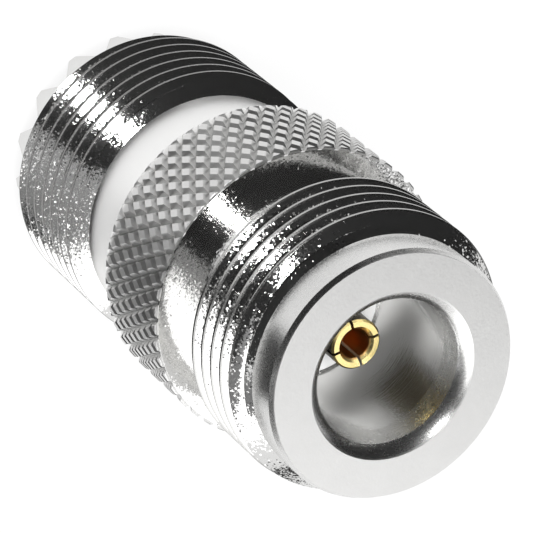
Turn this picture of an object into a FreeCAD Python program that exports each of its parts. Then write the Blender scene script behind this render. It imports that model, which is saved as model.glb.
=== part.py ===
"""Straight coaxial adapter, N socket on one end and UHF socket on the other.

Millimetres. The axis is Z. The part stands on the toothed rim of its UHF end at Z = 0, and the N end points up.
"""
import FreeCAD
import Part
import math
import os

from FreeCAD import Vector

AXIS = Vector(0, 0, 1)

# Lengths along the axis, in order from the UHF rim to the N face
RIM_LENGTH = 1.75
UHF_THREAD_LENGTH = 8.15
UHF_NECK_LENGTH = 4.83
FLANGE_LENGTH = 6.67
N_NECK_LENGTH = 2.92
N_THREAD_LENGTH = 5.62
PILOT_LENGTH = 2.16

# Outer diameters of the turned shell. Both lands are turned for a 5/8-24 UNEF thread
UHF_THREAD_DIAMETER = 15.68
UHF_NECK_DIAMETER = 13.88
N_THREAD_DIAMETER = 15.80
N_NECK_DIAMETER = 13.94
PILOT_CHAMFER_LENGTH = 0.3
PILOT_CHAMFER_WIDTH = 0.17

# Sixteen V notches leave the teeth that key the plug
NOTCH_COUNT = 16
NOTCH_DEPTH = 1.65
NOTCH_ANGLE = 70.0
NOTCH_START = 19.25

# Diamond knurl of raised pyramids round the flange
KNURL_DIAMETER = 16.76
KNURL_DEPTH = 0.3
KNURL_TEETH = 52
KNURL_ROWS = 8
KNURL_FLAT = 0.25
FLANGE_EDGE_DIAMETER = 16.4

# Open sockets, measured back from the N face and from the UHF rim
N_BORE_DIAMETER = 8.12
N_MOUTH_CHAMFER = 0.63
N_SOCKET_DEPTH = 9.1
UHF_BORE_DIAMETER = 12.3
UHF_MOUTH_CHAMFER = 0.2
UHF_SOCKET_DEPTH = 6.0

# Narrower seats of the two insulators, with a web between them that both insulators and contacts clamp
N_SEAT_DIAMETER = 7.9
UHF_SEAT_DIAMETER = 11.8
WEB_THICKNESS = 2.0
WEB_SETBACK = 1.9
WEB_BORE_DIAMETER = 5.6

# Contact tips: the N one stands proud of its insulator, the UHF one lies just below the face of its own
N_CONTACT_STANDOUT = 5.05
UHF_CONTACT_SETBACK = 0.1

# Spring contacts
N_CONTACT_DIAMETER = 2.8
N_PIN_HOLE_DIAMETER = 1.66
N_PIN_HOLE_DEPTH = 4.4
N_PIN_HOLE_COUNTERSINK = 0.18
N_CONTACT_CHAMFER = 0.1
N_SLOT_WIDTH = 0.16
N_SLOT_LENGTH = 3.6
N_SLOT_START = 60.0
SHANK_DIAMETER = 2.2
UHF_CONTACT_DIAMETER = 5.6
UHF_PIN_HOLE_DIAMETER = 4.0
UHF_PIN_HOLE_COUNTERSINK = 0.3
UHF_CONTACT_CHAMFER = 0.2
UHF_SLOT_WIDTH = 0.6
UHF_SLOT_LENGTH = 6.0
UHF_SLOT_START = 45.0
SLOT_COUNT = 4
JOINT_LENGTH = 2.0
JOINT_WALL = 0.7

# Radial gaps between pieces that slide or press together
FIT_GAP = 0.02
FINGER_GAP = 0.3
HUB_GAP = 0.1
UHF_INSULATOR_FLOOR = 1.2

# Stations along the axis that follow from the lengths
uhf_thread_end = RIM_LENGTH + UHF_THREAD_LENGTH
flange_base = uhf_thread_end + UHF_NECK_LENGTH
flange_top = flange_base + FLANGE_LENGTH
n_thread_base = flange_top + N_NECK_LENGTH
n_thread_end = n_thread_base + N_THREAD_LENGTH
n_face = n_thread_end + PILOT_LENGTH
web_top = flange_top - WEB_SETBACK
web_base = web_top - WEB_THICKNESS
n_seat = n_face - N_SOCKET_DEPTH
n_contact_tip = n_seat + N_CONTACT_STANDOUT
uhf_seat = UHF_SOCKET_DEPTH
uhf_contact_tip = uhf_seat + UHF_CONTACT_SETBACK
uhf_contact_back = web_base - UHF_INSULATOR_FLOOR


def turned(outline):
    """Solid of revolution from (radius, height) corners of a half section."""
    corners = [Vector(radius, 0, height) for radius, height in outline]
    face = Part.Face(Part.makePolygon(corners + corners[:1]))
    return face.revolve(Vector(), AXIS, 360)


def turned_about_axis(shape, degrees):
    copy = shape.copy()
    copy.rotate(Vector(), AXIS, degrees)
    return copy


def knurl_drum():
    """Disc whose rim is a diamond knurl: flat-topped pyramids parted by two crossing sets of grooves."""
    crest = KNURL_DIAMETER / 2
    valley = crest - KNURL_DEPTH
    edge = FLANGE_EDGE_DIAMETER / 2
    half_pitch = math.pi / KNURL_TEETH
    half_row = FLANGE_LENGTH / KNURL_ROWS

    def point(radius, step, row):
        angle = half_pitch * step
        height = flange_base + half_row * row
        return Vector(radius * math.cos(angle), radius * math.sin(angle), height)

    def corner(step, row):
        return point(edge if row in (0, KNURL_ROWS) else valley, step, row)

    def facet(*corners):
        return Part.Face(Part.makePolygon(list(corners) + [corners[0]]))

    def pyramid(step, row):
        """Facets between the four groove crossings round a pyramid and the corners of its flat top."""
        flat_corner = crest / math.cos(half_pitch * KNURL_FLAT)
        crossings = [corner(step + 1, row), corner(step, row + 1), corner(step - 1, row), corner(step, row - 1)]
        top = [
            point(flat_corner, step + KNURL_FLAT, row),
            point(crest, step, row + KNURL_FLAT),
            point(flat_corner, step - KNURL_FLAT, row),
            point(crest, step, row - KNURL_FLAT),
        ]
        facets = [facet(*top)]
        for side in range(4):
            beyond = (side + 1) % 4
            facets.append(facet(crossings[side], crossings[beyond], top[side]))
            facets.append(facet(crossings[beyond], top[beyond], top[side]))
        return facets

    facets = []
    for row in range(1, KNURL_ROWS):
        for tooth in range(KNURL_TEETH):
            facets += pyramid(2 * tooth + row % 2, row)
    for row, inner in ((0, 1), (KNURL_ROWS, KNURL_ROWS - 1)):
        first = (inner + 1) % 2
        for tooth in range(KNURL_TEETH):
            step = 2 * tooth + first
            facets.append(facet(corner(step - 1, row), corner(step + 1, row), corner(step, inner)))
        facets.append(facet(*[corner(2 * tooth + first + 1, row) for tooth in range(KNURL_TEETH)]))
    return Part.makeSolid(Part.makeShell(facets))


def rim_notches():
    """Radial V cuts across the UHF rim, evenly spaced."""
    half_width = NOTCH_DEPTH * math.tan(math.radians(NOTCH_ANGLE / 2))
    reach = UHF_NECK_DIAMETER
    corners = [Vector(0, -half_width, 0), Vector(0, half_width, 0), Vector(0, 0, NOTCH_DEPTH)]
    wedge = Part.Face(Part.makePolygon(corners + corners[:1])).extrude(Vector(reach, 0, 0))
    return [turned_about_axis(wedge, NOTCH_START + 360 * index / NOTCH_COUNT) for index in range(NOTCH_COUNT)]


def shell_blank():
    """Turned outside of the shell, with plain lands where the threads run."""
    rim = UHF_NECK_DIAMETER / 2
    uhf_major = UHF_THREAD_DIAMETER / 2
    n_major = N_THREAD_DIAMETER / 2
    n_neck = N_NECK_DIAMETER / 2
    n_lead = n_major - n_neck
    return turned([
        (0, 0),
        (rim, 0),
        (rim, RIM_LENGTH),
        (uhf_major, RIM_LENGTH + uhf_major - rim),
        (uhf_major, uhf_thread_end),
        (rim, uhf_thread_end),
        (rim, (flange_base + flange_top) / 2),
        (n_neck, (flange_base + flange_top) / 2),
        (n_neck, n_thread_base),
        (n_major, n_thread_base),
        (n_major, n_thread_end - n_lead),
        (n_neck, n_thread_end),
        (n_neck, n_face - PILOT_CHAMFER_LENGTH),
        (n_neck - PILOT_CHAMFER_WIDTH, n_face),
        (0, n_face),
    ])


def shell_bore():
    """All that is bored out along the axis: two sockets, two insulator seats and the hole in the web."""
    n_mouth = N_BORE_DIAMETER / 2 + N_MOUTH_CHAMFER
    uhf_mouth = UHF_BORE_DIAMETER / 2 + UHF_MOUTH_CHAMFER
    return turned([
        (0, 0),
        (uhf_mouth, 0),
        (UHF_BORE_DIAMETER / 2, UHF_MOUTH_CHAMFER),
        (UHF_BORE_DIAMETER / 2, uhf_seat),
        (UHF_SEAT_DIAMETER / 2, uhf_seat),
        (UHF_SEAT_DIAMETER / 2, web_base),
        (WEB_BORE_DIAMETER / 2, web_base),
        (WEB_BORE_DIAMETER / 2, web_top),
        (N_SEAT_DIAMETER / 2, web_top),
        (N_SEAT_DIAMETER / 2, n_seat),
        (N_BORE_DIAMETER / 2, n_seat),
        (N_BORE_DIAMETER / 2, n_face - N_MOUTH_CHAMFER),
        (n_mouth, n_face),
        (0, n_face),
    ])


def shell():
    """Nickel plated brass shell, turned in one piece with both threaded lands and the knurled flange."""
    knurled = shell_blank().fuse(knurl_drum())
    return knurled.cut([shell_bore()] + rim_notches())


def n_insulator():
    """White bush in the N bore, with a hub that centres it in the web."""
    hub_length = (WEB_THICKNESS - HUB_GAP) / 2
    outer = N_SEAT_DIAMETER / 2 - FIT_GAP
    hub = WEB_BORE_DIAMETER / 2 - FIT_GAP
    hole = SHANK_DIAMETER / 2 + FIT_GAP
    return turned([
        (hole, web_top - hub_length),
        (hub, web_top - hub_length),
        (hub, web_top),
        (outer, web_top),
        (outer, n_seat),
        (hole, n_seat),
    ])


def uhf_insulator():
    """White bush in the UHF bore, relieved round the spring fingers, with a hub in the web."""
    hub_length = (WEB_THICKNESS - HUB_GAP) / 2
    outer = UHF_SEAT_DIAMETER / 2 - FIT_GAP
    hub = WEB_BORE_DIAMETER / 2 - FIT_GAP
    hole = SHANK_DIAMETER / 2 + FIT_GAP
    pocket = UHF_CONTACT_DIAMETER / 2 + FIT_GAP
    relief = UHF_CONTACT_DIAMETER / 2 + FINGER_GAP
    relief_end = uhf_contact_tip + UHF_SLOT_LENGTH
    return turned([
        (relief, uhf_seat),
        (outer, uhf_seat),
        (outer, web_base),
        (hub, web_base),
        (hub, web_base + hub_length),
        (hole, web_base + hub_length),
        (hole, uhf_contact_back),
        (pocket, uhf_contact_back),
        (pocket, relief_end),
        (relief, relief_end),
    ])


def finger_slots(width, base, top, reach, start):
    """Saw cuts through the axis that part a socket into spring fingers."""
    cuts = []
    for index in range(SLOT_COUNT // 2):
        blade = Part.makeBox(2 * reach, width, top - base, Vector(-reach, -width / 2, base))
        cuts.append(turned_about_axis(blade, start + 180 * index / (SLOT_COUNT // 2)))
    return cuts


def n_contact():
    """Gold plated socket of the N end, with a shank that passes through both insulators."""
    outer = N_CONTACT_DIAMETER / 2
    hole = N_PIN_HOLE_DIAMETER / 2
    shank = SHANK_DIAMETER / 2
    tip = n_contact_tip
    floor = tip - N_PIN_HOLE_DEPTH
    socket = turned([
        (0, uhf_contact_back - JOINT_LENGTH),
        (shank, uhf_contact_back - JOINT_LENGTH),
        (shank, n_seat),
        (outer, n_seat),
        (outer, tip - N_CONTACT_CHAMFER),
        (outer - N_CONTACT_CHAMFER, tip),
        (hole + N_PIN_HOLE_COUNTERSINK, tip),
        (hole, tip - N_PIN_HOLE_COUNTERSINK),
        (hole, floor),
        (0, floor),
    ])
    return socket.cut(finger_slots(N_SLOT_WIDTH, tip - N_SLOT_LENGTH, tip, outer + FIT_GAP, N_SLOT_START))


def uhf_contact():
    """Socket of the UHF end, pressed on the shank of the N contact."""
    outer = UHF_CONTACT_DIAMETER / 2
    hole = UHF_PIN_HOLE_DIAMETER / 2
    joint = SHANK_DIAMETER / 2 + FIT_GAP
    tip = uhf_contact_tip
    back = uhf_contact_back
    joint_end = back - JOINT_LENGTH
    floor = joint_end - JOINT_WALL
    socket = turned([
        (0, floor),
        (hole, floor),
        (hole, tip + UHF_PIN_HOLE_COUNTERSINK),
        (hole + UHF_PIN_HOLE_COUNTERSINK, tip),
        (outer - UHF_CONTACT_CHAMFER, tip),
        (outer, tip + UHF_CONTACT_CHAMFER),
        (outer, back),
        (joint, back),
        (joint, joint_end),
        (0, joint_end),
    ])
    return socket.cut(finger_slots(UHF_SLOT_WIDTH, tip, tip + UHF_SLOT_LENGTH, outer + FIT_GAP, UHF_SLOT_START))


PIECES = {
    "shell": shell,
    "n_insulator": n_insulator,
    "uhf_insulator": uhf_insulator,
    "n_contact": n_contact,
    "uhf_contact": uhf_contact,
}

os.makedirs("parts", exist_ok=True)
for name, build in PIECES.items():
    build().exportStep("parts/" + name + ".step")
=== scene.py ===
import math

import bpy
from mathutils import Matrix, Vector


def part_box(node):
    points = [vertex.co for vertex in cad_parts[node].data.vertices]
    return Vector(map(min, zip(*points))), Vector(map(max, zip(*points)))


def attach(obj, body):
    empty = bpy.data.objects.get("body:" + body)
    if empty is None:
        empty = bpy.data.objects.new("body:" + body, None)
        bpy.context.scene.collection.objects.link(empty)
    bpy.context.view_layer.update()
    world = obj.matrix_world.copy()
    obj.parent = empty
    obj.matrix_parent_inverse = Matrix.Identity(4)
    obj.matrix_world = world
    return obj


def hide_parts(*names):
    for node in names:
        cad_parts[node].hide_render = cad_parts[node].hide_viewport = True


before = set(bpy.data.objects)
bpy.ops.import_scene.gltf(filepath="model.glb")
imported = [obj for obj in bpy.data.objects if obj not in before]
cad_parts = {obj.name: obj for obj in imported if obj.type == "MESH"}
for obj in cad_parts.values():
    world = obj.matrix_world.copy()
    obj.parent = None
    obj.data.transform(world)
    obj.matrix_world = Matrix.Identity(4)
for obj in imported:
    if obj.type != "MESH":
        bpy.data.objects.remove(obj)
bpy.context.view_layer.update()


# Shell: one bar of brass, turned and bored from both ends on a lathe, then plated with bright nickel.
# It carries both threaded ends, the relief necks behind them and the flange that the fingers hold.
# Sizes are in millimetres, and lengths run up the axis from the UHF rim to the N face.
MM = 0.001
rim_length = 1.75
uhf_thread_length = 8.15
uhf_neck_length = 4.83
flange_length = 6.67
n_neck_length = 2.92
n_thread_length = 5.62
uhf_thread_radius = 7.84
n_thread_radius = 7.90
uhf_neck_radius = 6.94
n_neck_radius = 6.97
uhf_slope_start = 0.42
uhf_slope_past = 0.10
edge_break = 0.05
core_step = 1.5
flange_edge_radius = 8.2
flange_lip = 0.1
pilot_chamfer_width = 0.17
pilot_chamfer_length = 0.3
n_bore_radius = 4.06
n_socket_depth = 9.1
n_mouth_chamfer = 0.63
n_mouth_step_width = 0.29
n_mouth_step_depth = 0.20
n_seat_radius = 3.95
web_below_flange = 1.9
web_thickness = 2.0
web_bore_radius = 2.8
uhf_seat_radius = 5.9
uhf_bore_radius = 6.15
uhf_socket_depth = 6.0
uhf_mouth_chamfer = 0.2
shell_steps = 240
weld_gap = 0.0005
shell_weld_gap = 0.004

n_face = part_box("shell")[1].z / MM
uhf_thread_end = rim_length + uhf_thread_length
flange_base = uhf_thread_end + uhf_neck_length
flange_top = flange_base + flange_length
n_thread_base = flange_top + n_neck_length
n_thread_end = n_thread_base + n_thread_length
n_lead = n_thread_radius - n_neck_radius
uhf_lead = uhf_thread_radius - uhf_neck_radius
web_top = flange_top - web_below_flange
web_base = web_top - web_thickness
n_seat = n_face - n_socket_depth


def finish_mesh(piece, name, gap=weld_gap):
    """Name the piece just made, merge what lies within the gap and turn its faces outwards."""
    piece.name = name
    piece.data.name = name
    bpy.ops.object.mode_set(mode="EDIT")
    bpy.ops.mesh.select_all(action="SELECT")
    bpy.ops.mesh.remove_doubles(threshold=gap * MM)
    bpy.ops.mesh.normals_make_consistent(inside=False)
    bpy.ops.object.mode_set(mode="OBJECT")
    return piece


def outline(points):
    """Closed wire through corners given as (radius, height), drawn in the XZ plane."""
    bpy.ops.object.select_all(action="DESELECT")
    bpy.ops.mesh.primitive_plane_add(size=MM)
    wire = bpy.context.object
    bpy.ops.object.mode_set(mode="EDIT")
    bpy.ops.mesh.merge(type="CENTER")
    radius, height = points[0]
    bpy.ops.transform.translate(value=(radius * MM, 0, height * MM))
    for (radius, height), (next_radius, next_height) in zip(points, points[1:] + points[:1]):
        step = ((next_radius - radius) * MM, 0, (next_height - height) * MM)
        bpy.ops.mesh.extrude_vertices_move(TRANSFORM_OT_translate={"value": step})
    bpy.ops.mesh.select_all(action="SELECT")
    bpy.ops.mesh.remove_doubles(threshold=weld_gap * MM)
    bpy.ops.object.mode_set(mode="OBJECT")
    return wire


def lathe(points, name, steps):
    """Turn an outline once round the axis."""
    piece = outline(points)
    bpy.ops.object.mode_set(mode="EDIT")
    bpy.ops.mesh.select_all(action="SELECT")
    bpy.ops.mesh.spin(steps=steps, angle=2 * math.pi, center=(0, 0, 0), axis=(0, 0, 1))
    bpy.ops.object.mode_set(mode="OBJECT")
    return finish_mesh(piece, name)


def apply(piece, kind, **settings):
    """Select one piece alone, add a modifier with its settings and apply it."""
    bpy.ops.object.select_all(action="DESELECT")
    piece.select_set(True)
    bpy.context.view_layer.objects.active = piece
    modifier = piece.modifiers.new(kind.title(), kind)
    for key, value in settings.items():
        setattr(modifier, key, value)
    bpy.ops.object.modifier_apply(modifier=modifier.name)


def carve(piece, tool, operation="DIFFERENCE"):
    """Cut one closed mesh with another, or join them into one, and drop the tool."""
    apply(piece, "BOOLEAN", operation=operation, solver="EXACT", object=tool)
    bpy.data.objects.remove(tool)


shell = lathe([
    (uhf_bore_radius + uhf_mouth_chamfer, 0),
    (uhf_neck_radius - edge_break, 0),
    (uhf_neck_radius, edge_break),
    (uhf_neck_radius, rim_length),
    (uhf_thread_radius, rim_length + uhf_lead),
    (uhf_thread_radius, uhf_thread_end - uhf_slope_start),
    (uhf_neck_radius, uhf_thread_end + uhf_slope_past),
    (uhf_neck_radius, flange_base + core_step),
    (n_neck_radius, flange_base + core_step),
    (n_neck_radius, flange_top - flange_lip),
    (flange_edge_radius, flange_top - flange_lip),
    (flange_edge_radius, flange_top),
    (n_neck_radius, flange_top),
    (n_neck_radius, n_thread_base),
    (n_thread_radius, n_thread_base),
    (n_thread_radius, n_thread_end - n_lead),
    (n_neck_radius, n_thread_end),
    (n_neck_radius, n_face - pilot_chamfer_length),
    (n_neck_radius - pilot_chamfer_width, n_face),
    (n_bore_radius + n_mouth_chamfer, n_face),
    (n_bore_radius + n_mouth_step_width, n_face - n_mouth_step_depth),
    (n_bore_radius, n_face - n_mouth_chamfer),
    (n_bore_radius, n_seat),
    (n_seat_radius, n_seat),
    (n_seat_radius, web_top),
    (web_bore_radius, web_top),
    (web_bore_radius, web_base),
    (uhf_seat_radius, web_base),
    (uhf_seat_radius, uhf_socket_depth),
    (uhf_bore_radius, uhf_socket_depth),
    (uhf_bore_radius, uhf_mouth_chamfer),
], "shell_metal", shell_steps)

# Threads: both ends have the same right-hand thread, 24 turns to the inch, cut with a 60 degree tool.
# Each turn is a V groove that leaves a narrow flat on the crest and runs out into the neck behind.
# The crest heights are those of a crest as it passes the front of the part.
inch = 25.4
turns_per_inch = 24
pitch = inch / turns_per_inch
thread_depth = 0.613 * pitch
flank_slope = math.tan(math.radians(30))
n_crest_flat = 0.15
uhf_crest_flat = 0.16
n_crest_height = 28.994
uhf_crest_height = 8.803
tool_overcut = 0.07
helix_steps = 144


def thread_cutter(radius, base, top, crest_height, crest_flat):
    """Helical groove tool that reaches past both ends of the thread."""
    half_mouth = (pitch - crest_flat) / 2
    half_root = half_mouth - thread_depth * flank_slope
    crest_to_groove = 0.5
    front_to_seam = 0.25
    groove_height = crest_height + pitch * (crest_to_groove + front_to_seam)
    start = groove_height - pitch * math.ceil((groove_height - base) / pitch + 1)
    turns = math.ceil((top - base) / pitch) + 2
    tool = outline([
        (radius - thread_depth, start - half_root),
        (radius + tool_overcut, start - half_mouth - tool_overcut * flank_slope),
        (radius + tool_overcut, start + half_mouth + tool_overcut * flank_slope),
        (radius - thread_depth, start + half_root),
    ])
    helix = {"steps": helix_steps, "render_steps": helix_steps, "iterations": turns}
    apply(tool, "SCREW", screw_offset=pitch * MM, use_merge_vertices=False, **helix)
    bpy.ops.object.mode_set(mode="EDIT")
    bpy.ops.mesh.select_all(action="SELECT")
    bpy.ops.mesh.fill_holes(sides=0)
    bpy.ops.object.mode_set(mode="OBJECT")
    return finish_mesh(tool, "groove_tool")


carve(shell, thread_cutter(n_thread_radius, n_thread_base, n_thread_end, n_crest_height, n_crest_flat))
carve(shell, thread_cutter(uhf_thread_radius, rim_length, uhf_thread_end, uhf_crest_height, uhf_crest_flat))

# Toothed rim: sixteen V notches milled across the end of the UHF side, in the same brass.
# The teeth of the plug that screws on drop into them, so that it can't work loose.
notch_count = 16
notch_depth = 1.65
notch_slope = math.tan(math.radians(35))
notch_start = 19.25
notch_overcut = 0.2
notch_outside = 8.5
notch_reach = 3.5
quarter_turn = 90


def turn(degrees):
    """Turn what is selected round the axis of the part, anticlockwise from above."""
    bpy.ops.transform.rotate(value=-math.radians(degrees), orient_axis="Z", center_override=(0, 0, 0))


def notch_cutter():
    """Sixteen V wedges in one mesh, set round the rim: one is made at the front and copied."""
    half_width = (notch_depth + notch_overcut) * notch_slope
    tool = outline([(-half_width, -notch_overcut), (half_width, -notch_overcut), (0, notch_depth)])
    bpy.ops.object.mode_set(mode="EDIT")
    bpy.ops.mesh.select_all(action="SELECT")
    bpy.ops.mesh.edge_face_add()
    bpy.ops.transform.translate(value=(0, -notch_outside * MM, 0))
    bpy.ops.mesh.extrude_region_move(TRANSFORM_OT_translate={"value": (0, notch_reach * MM, 0)})
    bpy.ops.mesh.select_all(action="SELECT")
    turn(notch_start + quarter_turn)
    for notch in range(1, notch_count):
        bpy.ops.mesh.duplicate()
        turn(360 / notch_count)
    bpy.ops.object.mode_set(mode="OBJECT")
    return finish_mesh(tool, "notch_tool")


carve(shell, notch_cutter())

# Knurl: a diamond pattern rolled into the flange by two crossed wheels, so that fingers don't slip.
# It leaves blunt four-sided pyramids in staggered rows, cut off where the flange's edges are broken.
knurl_radius = 8.38
knurl_depth = 0.30
knurl_count = 52
knurl_rows = 4
knurl_flank = 0.48
tile_width = 2 * math.pi * knurl_radius / knurl_count
tile_height = flange_length / knurl_rows
spare_rows = 3
sheet_margin = 0.2
sheet_weld_gap = 0.002
trim_gap = 0.0002
ring_bore_share = 0.77
ring_wall = 2.2
rear_break_length = 0.62
rear_break_depth = 0.38
rear_knee_length = 0.4 * rear_break_length
rear_knee_depth = 0.35 * rear_break_depth
front_break = 0.06
knurl_clearance = 0.02
smooth_angle = 28


def knurl_sheet():
    """One pyramid, arrayed into a flat staggered sheet: x along the girth, y inwards, z up the flange."""
    bpy.ops.object.select_all(action="DESELECT")
    bpy.ops.mesh.primitive_circle_add(vertices=4, radius=MM, fill_type="NGON")
    sheet = bpy.context.object
    half_width = tile_width / 2
    half_height = tile_height / 2
    side_distance = half_width * half_height / math.hypot(half_width, half_height)
    bpy.ops.object.mode_set(mode="EDIT")
    bpy.ops.mesh.select_all(action="SELECT")
    bpy.ops.transform.resize(value=(half_width, half_height, 1))
    bpy.ops.transform.rotate(value=-math.radians(90), orient_axis="X", center_override=(0, 0, 0))
    bpy.ops.mesh.select_all(action="SELECT")
    bpy.ops.mesh.normals_make_consistent(inside=False)
    bpy.ops.mesh.inset(thickness=knurl_flank * side_distance * MM, depth=0)
    bpy.ops.transform.translate(value=(0, -knurl_depth * MM, 0))
    bpy.ops.mesh.select_all(action="SELECT")
    bpy.ops.transform.translate(value=(0, knurl_depth * MM, -tile_height * MM))
    bpy.ops.mesh.duplicate()
    bpy.ops.transform.translate(value=(half_width * MM, 0, half_height * MM))
    bpy.ops.object.mode_set(mode="OBJECT")
    fixed = {"use_relative_offset": False, "use_constant_offset": True}
    apply(sheet, "ARRAY", count=knurl_count + 1, constant_offset_displace=(tile_width * MM, 0, 0), **fixed)
    rows = knurl_rows + spare_rows
    apply(sheet, "ARRAY", count=rows, constant_offset_displace=(0, 0, tile_height * MM), **fixed)
    bpy.ops.object.mode_set(mode="EDIT")
    for place, outwards in (
        ((0, 0, 0), (-1, 0, 0)),
        ((knurl_count * tile_width * MM, 0, 0), (1, 0, 0)),
        ((0, 0, -sheet_margin * MM), (0, 0, -1)),
        ((0, 0, (flange_length + sheet_margin) * MM), (0, 0, 1)),
    ):
        bpy.ops.mesh.select_all(action="SELECT")
        bpy.ops.mesh.bisect(plane_co=place, plane_no=outwards, threshold=trim_gap * MM, clear_outer=True)
    bpy.ops.mesh.select_all(action="SELECT")
    bpy.ops.mesh.remove_doubles(threshold=sheet_weld_gap * MM)
    bpy.ops.object.mode_set(mode="OBJECT")
    return sheet


def knurl_ring():
    """The sheet bent round the flange, closed to a ring, with its two edges broken."""
    ring = knurl_sheet()
    apply(ring, "SIMPLE_DEFORM", deform_method="BEND", deform_axis="Z", angle=2 * math.pi)
    bpy.ops.object.mode_set(mode="EDIT")
    bpy.ops.mesh.select_all(action="SELECT")
    bpy.ops.transform.translate(value=(0, -knurl_radius * MM, flange_base * MM))
    bpy.ops.mesh.remove_doubles(threshold=sheet_weld_gap * MM)
    bpy.ops.mesh.select_all(action="DESELECT")
    bpy.ops.mesh.select_non_manifold()
    bpy.ops.mesh.extrude_edges_move()
    bpy.ops.transform.resize(value=(ring_bore_share, ring_bore_share, 1), center_override=(0, 0, 0))
    bpy.ops.mesh.bridge_edge_loops()
    bpy.ops.object.mode_set(mode="OBJECT")
    finish_mesh(ring, "knurl_ring")
    inside = knurl_radius - ring_wall
    outside = knurl_radius + knurl_clearance
    envelope = lathe([
        (inside, flange_base),
        (knurl_radius - rear_break_depth, flange_base),
        (knurl_radius - rear_knee_depth, flange_base + rear_knee_length),
        (outside, flange_base + rear_break_length),
        (outside, flange_top - front_break - knurl_clearance),
        (knurl_radius - front_break, flange_top - knurl_clearance),
        (inside, flange_top - knurl_clearance),
    ], "knurl_envelope", 4 * knurl_count)
    carve(ring, envelope, "INTERSECT")
    return ring


carve(shell, knurl_ring(), "UNION")
finish_mesh(shell, "shell_metal", shell_weld_gap)
bpy.ops.object.shade_smooth_by_angle(angle=math.radians(smooth_angle))
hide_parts("shell")
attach(shell, "root")

# Nickel plate over the whole shell: mirror bright on the threads and the N neck, satin where the tool's
# marks or the knurling wheels left the brass matt, and pitted where it was cut fast.
plate_grey = (0.70, 0.698, 0.69, 1)
plate_light = (0.77, 0.768, 0.76, 1)
# painted sheen: a nickel lighter than the plate itself, standing in for bright reflection
painted_sheen_white = (0.97, 0.968, 0.96, 1)
# painted shade: the thread crests are darkened to dim what they reflect
crest_painted_shade = (0.44, 0.438, 0.43, 1)
# painted shade: the UHF crests darker still, for their dim reflection
uhf_crest_painted_shade = (0.22, 0.218, 0.215, 1)
bore_wall_radius = 6.2
bore_wall_fade = 0.15
core_radius = 7.2
mouth_fade = 1.0
sharp_fade = 0.02
soft_fade = 0.1
polish_roughness = 0.05
satin_roughness = 0.29
grain_roughness = 0.05
cloud_roughness = 0.04
turning_depth = 0.0016
pore_depth = 0.0040
pits_per_mm = 11.0
pit_tilt = 0.26
pocket_tilt = 0.24


class Value:
    """A number that a material works out: arithmetic on it adds Math nodes."""

    def __init__(self, finish, socket):
        self.finish = finish
        self.socket = socket

    def math(self, operation, first, second):
        """One Math node on two numbers, each plain or worked out."""
        return self.finish.node("ShaderNodeMath", {"operation": operation}, {0: first, 1: second})

    def __add__(self, other):
        return self.math("ADD", self, other)

    def __sub__(self, other):
        return self.math("SUBTRACT", self, other)

    def __rsub__(self, other):
        return self.math("SUBTRACT", other, self)

    def __mul__(self, other):
        return self.math("MULTIPLY", self, other)

    __radd__ = __add__
    __rmul__ = __mul__


class Finish:
    """Nodes of one material or backdrop, and the shader that they feed."""

    def __init__(self, owner, shader="Principled BSDF"):
        owner.use_nodes = True
        self.owner = owner
        self.nodes = owner.node_tree.nodes
        self.links = owner.node_tree.links
        self.shader = self.nodes[shader]

    def fill(self, node, sockets):
        """Give a node's sockets their values or links."""
        for key, value in sockets.items():
            if isinstance(value, Value):
                self.links.new(value.socket, node.inputs[key])
            else:
                node.inputs[key].default_value = value

    def node(self, kind, settings, sockets, output=0):
        """Add a node, set it, feed it, and give back one of its outputs."""
        node = self.nodes.new(kind)
        for key, value in settings.items():
            setattr(node, key, value)
        self.fill(node, sockets)
        return Value(self, node.outputs[output])

    def vector(self, operation, sockets, output=0):
        """One step of arithmetic on places, directions or colours."""
        return self.node("ShaderNodeVectorMath", {"operation": operation}, sockets, output)

    def place(self):
        """Position on the object in millimetres."""
        return self.vector("SCALE", {0: self.node("ShaderNodeTexCoord", {}, {}, "Object"), "Scale": 1 / MM})

    def height(self, place):
        """Height above the UHF rim."""
        return self.node("ShaderNodeSeparateXYZ", {}, {0: place}, "Z")

    def radius(self, place):
        """Distance from the part's axis."""
        return self.vector("LENGTH", {0: self.vector("MULTIPLY", {0: place, 1: (1, 1, 0)})}, "Value")

    def largest(self, first, *others):
        """Largest of several masks."""
        for other in others:
            first = self.node("ShaderNodeMath", {"operation": "MAXIMUM"}, {0: first, 1: other})
        return first

    def rise(self, value, low, high):
        """Smooth step from 0 at low to 1 at high."""
        settings = {"interpolation_type": "SMOOTHSTEP"}
        return self.node("ShaderNodeMapRange", settings, {"Value": value, "From Min": low, "From Max": high})

    def noise(self, place, scale, stretch=(1, 1, 1), detail=3.0):
        """Noise from 0 to 1, with features about 1/scale of a millimetre."""
        spread = self.vector("MULTIPLY", {0: place, 1: stretch})
        return self.node("ShaderNodeTexNoise", {}, {"Vector": spread, "Scale": scale, "Detail": detail})

    def blend(self, factor, first, second):
        """Mix two colours."""
        colours = {"Factor": factor, 6: first, 7: second}
        return self.node("ShaderNodeMix", {"data_type": "RGBA"}, colours, 2)

    def relief(self, height, depth, under=None):
        """Bump whose full height is depth millimetres, laid over another one if that is given."""
        sockets = {"Height": height, "Distance": depth * MM, "Strength": 1.0}
        if under:
            sockets["Normal"] = under
        return self.node("ShaderNodeBump", {}, sockets)

    def pits(self, place, scale, tilt, under):
        """Normal tipped at random from one small cell to the next, as plate over a pitted cut."""
        flattest = 0.16
        cell = self.node("ShaderNodeTexVoronoi", {}, {"Vector": place, "Scale": scale}, "Color")
        chance = self.node("ShaderNodeTexWhiteNoise", {}, {"Vector": cell}, "Value")
        share = flattest + (1 - flattest) * self.rise(chance, 0.50, 1.0)
        tipped = self.vector("SUBTRACT", {0: cell, 1: (0.5, 0.5, 0.5)})
        tipped = self.vector("SCALE", {0: tipped, "Scale": tilt * share})
        return self.vector("NORMALIZE", {0: self.vector("ADD", {0: under, 1: tipped})})


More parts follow.
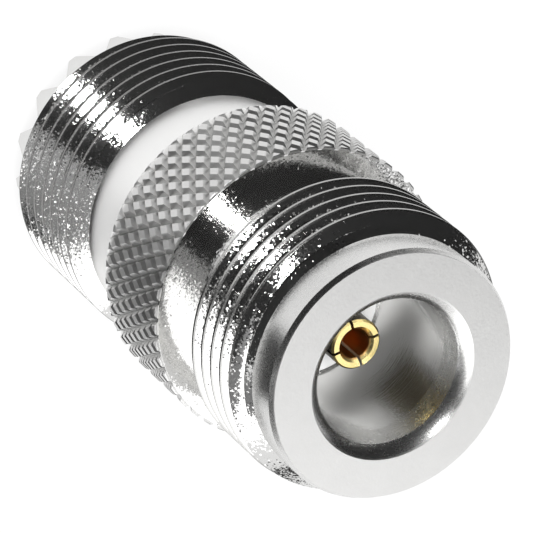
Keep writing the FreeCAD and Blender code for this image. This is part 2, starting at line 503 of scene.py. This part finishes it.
def nickel_finish():
    """Bright nickel plate: cut threads stay glossy, the face, knurl and bores are satin."""
    finish = Finish(bpy.data.materials.new("nickel"))
    place = finish.place()
    radius = finish.radius(place)
    height = finish.height(place)
    sharp = sharp_fade
    soft = soft_fade

    face = finish.rise(height, n_face - sharp - soft, n_face - sharp)
    front = finish.rise(height, flange_top - flange_lip - sharp, flange_top - flange_lip)
    front = front * (1 - finish.rise(radius, flange_edge_radius, flange_edge_radius + sharp))
    flange = finish.rise(height, flange_base - soft / 2, flange_base)
    flange = flange * (1 - finish.rise(height, flange_top, flange_top + soft / 2))
    flange = flange * (1 - front) * finish.rise(radius, core_radius, core_radius + soft)
    mouth = finish.rise(radius, n_bore_radius + sharp, n_bore_radius + 3 * sharp)
    mouth = mouth * finish.rise(height, n_seat, n_seat + mouth_fade)
    bore = (1 - finish.rise(radius, bore_wall_radius, bore_wall_radius + bore_wall_fade)) * (1 - mouth)
    ahead = finish.rise(height, flange_top + soft, flange_top + 2 * soft)
    behind = 1 - finish.rise(height, flange_base - 2 * soft, flange_base - soft)
    crest = finish.rise(radius, uhf_thread_radius - 2 * sharp, uhf_thread_radius - sharp / 2)
    crest = crest * (ahead + behind)
    pilot = finish.rise(height, n_thread_end - sharp, n_thread_end + 2 * sharp)
    slope_end = uhf_thread_end + uhf_slope_past
    neck = finish.rise(height, slope_end - sharp, slope_end + 3 * sharp)
    neck = neck * (1 - finish.rise(height, flange_base + soft, flange_base + 2 * soft))
    root = finish.rise(height, flange_top - 2 * soft, flange_top - soft)
    root = root * (1 - finish.rise(height, n_thread_base - soft, n_thread_base))
    painted_sheen_rear = 1 - finish.rise(height, flange_base + 5 * soft, flange_base + 7 * soft)
    forward = finish.rise(height, flange_base, flange_top)

    grain = finish.noise(place, 7.0)
    cloud = finish.noise(place, 0.8)
    turning = finish.noise(place, 14.0, stretch=(0.06, 0.06, 1.0), detail=2.0)
    satin = finish.largest(face, flange, 0.3 * bore, 0.6 * crest, 0.6 * pilot, neck)
    smooth = finish.largest(face, flange, bore, crest, pilot, neck)
    roughness = polish_roughness + satin_roughness * satin + grain_roughness * grain + cloud_roughness * cloud
    colour = finish.blend(cloud, plate_grey, plate_light)
    # The UHF neck and the rear edge of the flange get a painted sheen: near-white colour in place of a bright
    # reflection.
    colour = finish.blend(finish.largest(neck, flange * painted_sheen_rear), colour, painted_sheen_white)
    # Painted shade: both threads' crests are darkened in colour, for the dim reflection of the shadowed floor
    # below them.
    colour = finish.blend(crest, colour, crest_painted_shade)
    # More painted shade on the UHF side's crests, darker than the N side's.
    colour = finish.blend(crest * (1 - forward), colour, uhf_crest_painted_shade)
    marks = finish.relief(turning * (1 + 5 * bore), turning_depth)
    pores = finish.relief(grain, pore_depth, marks)
    tilt = pit_tilt + pocket_tilt * finish.rise(grain, 0.50, 0.66)
    tilt = tilt * (1 - 0.9 * smooth) * (1 - 0.65 * root) * (0.40 + 0.60 * forward)
    finish.fill(finish.shader, {
        "Base Color": colour,
        "Metallic": 1.0,
        "Roughness": roughness,
        "Normal": finish.pits(place, pits_per_mm, tilt, pores),
    })
    return finish.owner


def dress(piece, material):
    """Give a piece its one material."""
    piece.data.materials.clear()
    piece.data.materials.append(material)


dress(shell, nickel_finish())


# Insulators: two bushes turned from PTFE rod, milky white and a little waxy.
# One is pushed into its seat in the web from either end, and they hold the contacts on the axis.
ptfe_shade = (0.86, 0.86, 0.85, 1)
ptfe_white = (0.92, 0.92, 0.91, 1)


def ptfe_finish():
    """Turned PTFE: white, slightly translucent, with faint tool rings."""
    finish = Finish(bpy.data.materials.new("ptfe"))
    place = finish.place()
    cloud = finish.noise(place, 0.6)
    rings = finish.noise(place, 10.0, stretch=(0.3, 0.3, 1.0), detail=2.0)
    finish.fill(finish.shader, {
        "Base Color": finish.blend(cloud, ptfe_shade, ptfe_white),
        "Roughness": 0.42 + 0.08 * cloud,
        "Subsurface Weight": 0.1,
        "Subsurface Radius": (1, 1, 1),
        "Subsurface Scale": 0.5 * MM,
        "Normal": finish.relief(rings, 0.004),
    })
    return finish.owner


ptfe = ptfe_finish()
for name in ("n_insulator", "uhf_insulator"):
    dress(bpy.data.objects[name], ptfe)


# Contacts: two sockets turned from brass, slotted into four spring fingers and plated with gold.
# The N contact's shank passes through both insulators, and the UHF contact is pressed onto it.
gold_deep = (1.0, 0.76, 0.27, 1)
gold_pale = (1.0, 0.88, 0.46, 1)
# painted shade: below the tip the gold is brown down the hole and near black on the outside
gold_hole_painted_shade = (0.78, 0.46, 0.18, 1)
gold_side_painted_shade = (0.16, 0.14, 0.10, 1)
finger_radius = 1.0
finger_fade = 0.1
tip_start = 0.16
tip_end = 0.08


def gold_finish(name, tip):
    """Gold plate on the rim at the tip, painted shade below it: brown down the hole, dark outside."""
    finish = Finish(bpy.data.materials.new(name))
    place = finish.place()
    grain = finish.noise(place, 6.0)
    rim = finish.rise(finish.height(place), tip - tip_start, tip - tip_end)
    side = finish.rise(finish.radius(place), finger_radius, finger_radius + finger_fade)
    # painted shade on everything below the tip's rim
    shade = finish.blend(side, gold_hole_painted_shade, gold_side_painted_shade)
    finish.fill(finish.shader, {
        "Base Color": finish.blend(rim, shade, finish.blend(grain, gold_deep, gold_pale)),
        "Metallic": 1.0,
        "Roughness": 0.30 - 0.12 * rim + 0.10 * grain,
        "Normal": finish.relief(grain, 0.002),
    })
    return finish.owner


for name, plate in (("n_contact", "gold"), ("uhf_contact", "gold_back")):
    dress(bpy.data.objects[name], gold_finish(plate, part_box(name)[1].z / MM))


# Studio: a floor of white paper and a white sweep all round, lit by soft boxes above the part.
# Black and grey cards stand beside it: the camera doesn't see them, and only the polished plate shows them.
# Places and sizes here are in metres.
paper_white = (0.9, 0.9, 0.9, 1)
felt_black = (0.012, 0.012, 0.012, 1)
card_grey = (0.22, 0.22, 0.22, 1)
pure_white = (1, 1, 1, 1)
floor_glow = 0.85
sweep_glow = 0.55
card_roughness = 0.9
lit_point = (0, 0, 0.028)


def seen(finish):
    """1 on rays from the camera, off polish or through clear matter, and 0 on all others."""
    kinds = ("Is Camera Ray", "Is Glossy Ray", "Is Transmission Ray")
    return finish.largest(*[finish.node("ShaderNodeLightPath", {}, {}, kind) for kind in kinds])


bpy.ops.object.select_all(action="DESELECT")
bpy.ops.mesh.primitive_plane_add(size=1.2)
floor = bpy.context.object
floor.name = "floor"
paper = Finish(bpy.data.materials.new("paper"))
sheet = paper.node("ShaderNodeBsdfDiffuse", {}, {"Color": paper_white})
glow = paper.node("ShaderNodeEmission", {}, {"Color": pure_white, "Strength": 1.0})
mixed = paper.node("ShaderNodeMixShader", {}, {0: seen(paper) * floor_glow, 1: sheet, 2: glow})
paper.fill(paper.nodes["Material Output"], {"Surface": mixed})
paper.nodes.remove(paper.shader)
dress(floor, paper.owner)

sweep = Finish(bpy.data.worlds.new("studio"), "Background")
sweep.fill(sweep.shader, {"Color": pure_white, "Strength": sweep_glow + (1 - sweep_glow) * seen(sweep)})
bpy.context.scene.world = sweep.owner

felt = Finish(bpy.data.materials.new("felt"))
felt.fill(felt.shader, {"Base Color": felt_black, "Roughness": card_roughness})
card = Finish(bpy.data.materials.new("grey_card"))
card.fill(card.shader, {"Base Color": card_grey, "Roughness": card_roughness})


def aim(item, place):
    """Set an item at a place and face its -Z side at the part."""
    item.location = place
    x, y, z = [here - there for here, there in zip(place, lit_point)]
    item.rotation_euler = (math.atan2(math.hypot(x, y), z), 0, math.atan2(x, -y))


def lamp(name, place, size, power):
    """Rectangular soft box."""
    light = bpy.data.lights.new(name, "AREA")
    light.shape = "RECTANGLE"
    light.size = size[0]
    light.size_y = size[1]
    light.energy = power
    item = bpy.data.objects.new(name, light)
    bpy.context.collection.objects.link(item)
    item.visible_camera = False
    aim(item, place)
    return item


def flag(name, place, size, turned=None, cloth=felt):
    """Card beside the part, facing it unless turned by angles, which only its polish shows."""
    bpy.ops.object.select_all(action="DESELECT")
    bpy.ops.mesh.primitive_plane_add(size=1)
    item = bpy.context.object
    item.name = name
    item.scale = (size[0], size[1], 1)
    aim(item, place)
    if turned:
        item.rotation_euler = [math.radians(angle) for angle in turned]
    item.visible_camera = False
    item.visible_shadow = False
    item.visible_diffuse = False
    dress(item, cloth.owner)


lamp("lamp_back", (0.03, 0.15, 0.22), (0.20, 0.12), 0.05)
lamp("lamp_right", (0.17, 0.02, 0.17), (0.20, 0.26), 0.22)
lamp("lamp_strip", (-0.0185, -0.088, 0.170), (0.016, 0.055), 0.065)
fill = lamp("lamp_fill", (0.01, -0.10, 0.21), (0.06, 0.06), 0.40)
fill.visible_glossy = False
flag("flag_left", (-0.11, 0.0, 0.12), (0.34, 0.34))
flag("flag_front", (0.0, -0.13, 0.06), (0.40, 0.24))
flag("flag_top", (-0.075, -0.08, 0.18), (0.306, 0.24), (0, 0, 0))
flag("flag_back", (0.0, 0.14, 0.02), (0.34, 0.06), (90, 0, 0))
flag("flag_low", (0.018, -0.0125, 0.009), (0.022, 0.018))
flag("flag_step", (-0.008, -0.044, 0.012), (0.06, 0.026))
flag("card_right", (0.042, -0.0328, 0.0808), (0.13, 0.0125), (-90, -58.1, -90), card)
flag("flag_side", (0.042, -0.012, 0.0305), (0.013, 0.035), (0, 90, 0))
bpy.context.scene.view_settings.view_transform = "Standard"


# Camera: a long lens above the front of the part, looking down at the N end and rolled, so that the part
# lies across the picture from upper left to lower right.
camera_data = bpy.data.cameras.new("camera")
camera_data.sensor_width = 36
camera_data.lens = 294.16
camera_data.clip_start = 0.01
camera_data.clip_end = 10
camera = bpy.data.objects.new("camera", camera_data)
bpy.context.collection.objects.link(camera)
camera.location = (0, -0.13782, 0.205755)
camera.rotation_euler = (math.radians(-25.536), math.radians(-26.616), math.radians(136.851))
bpy.context.scene.camera = camera
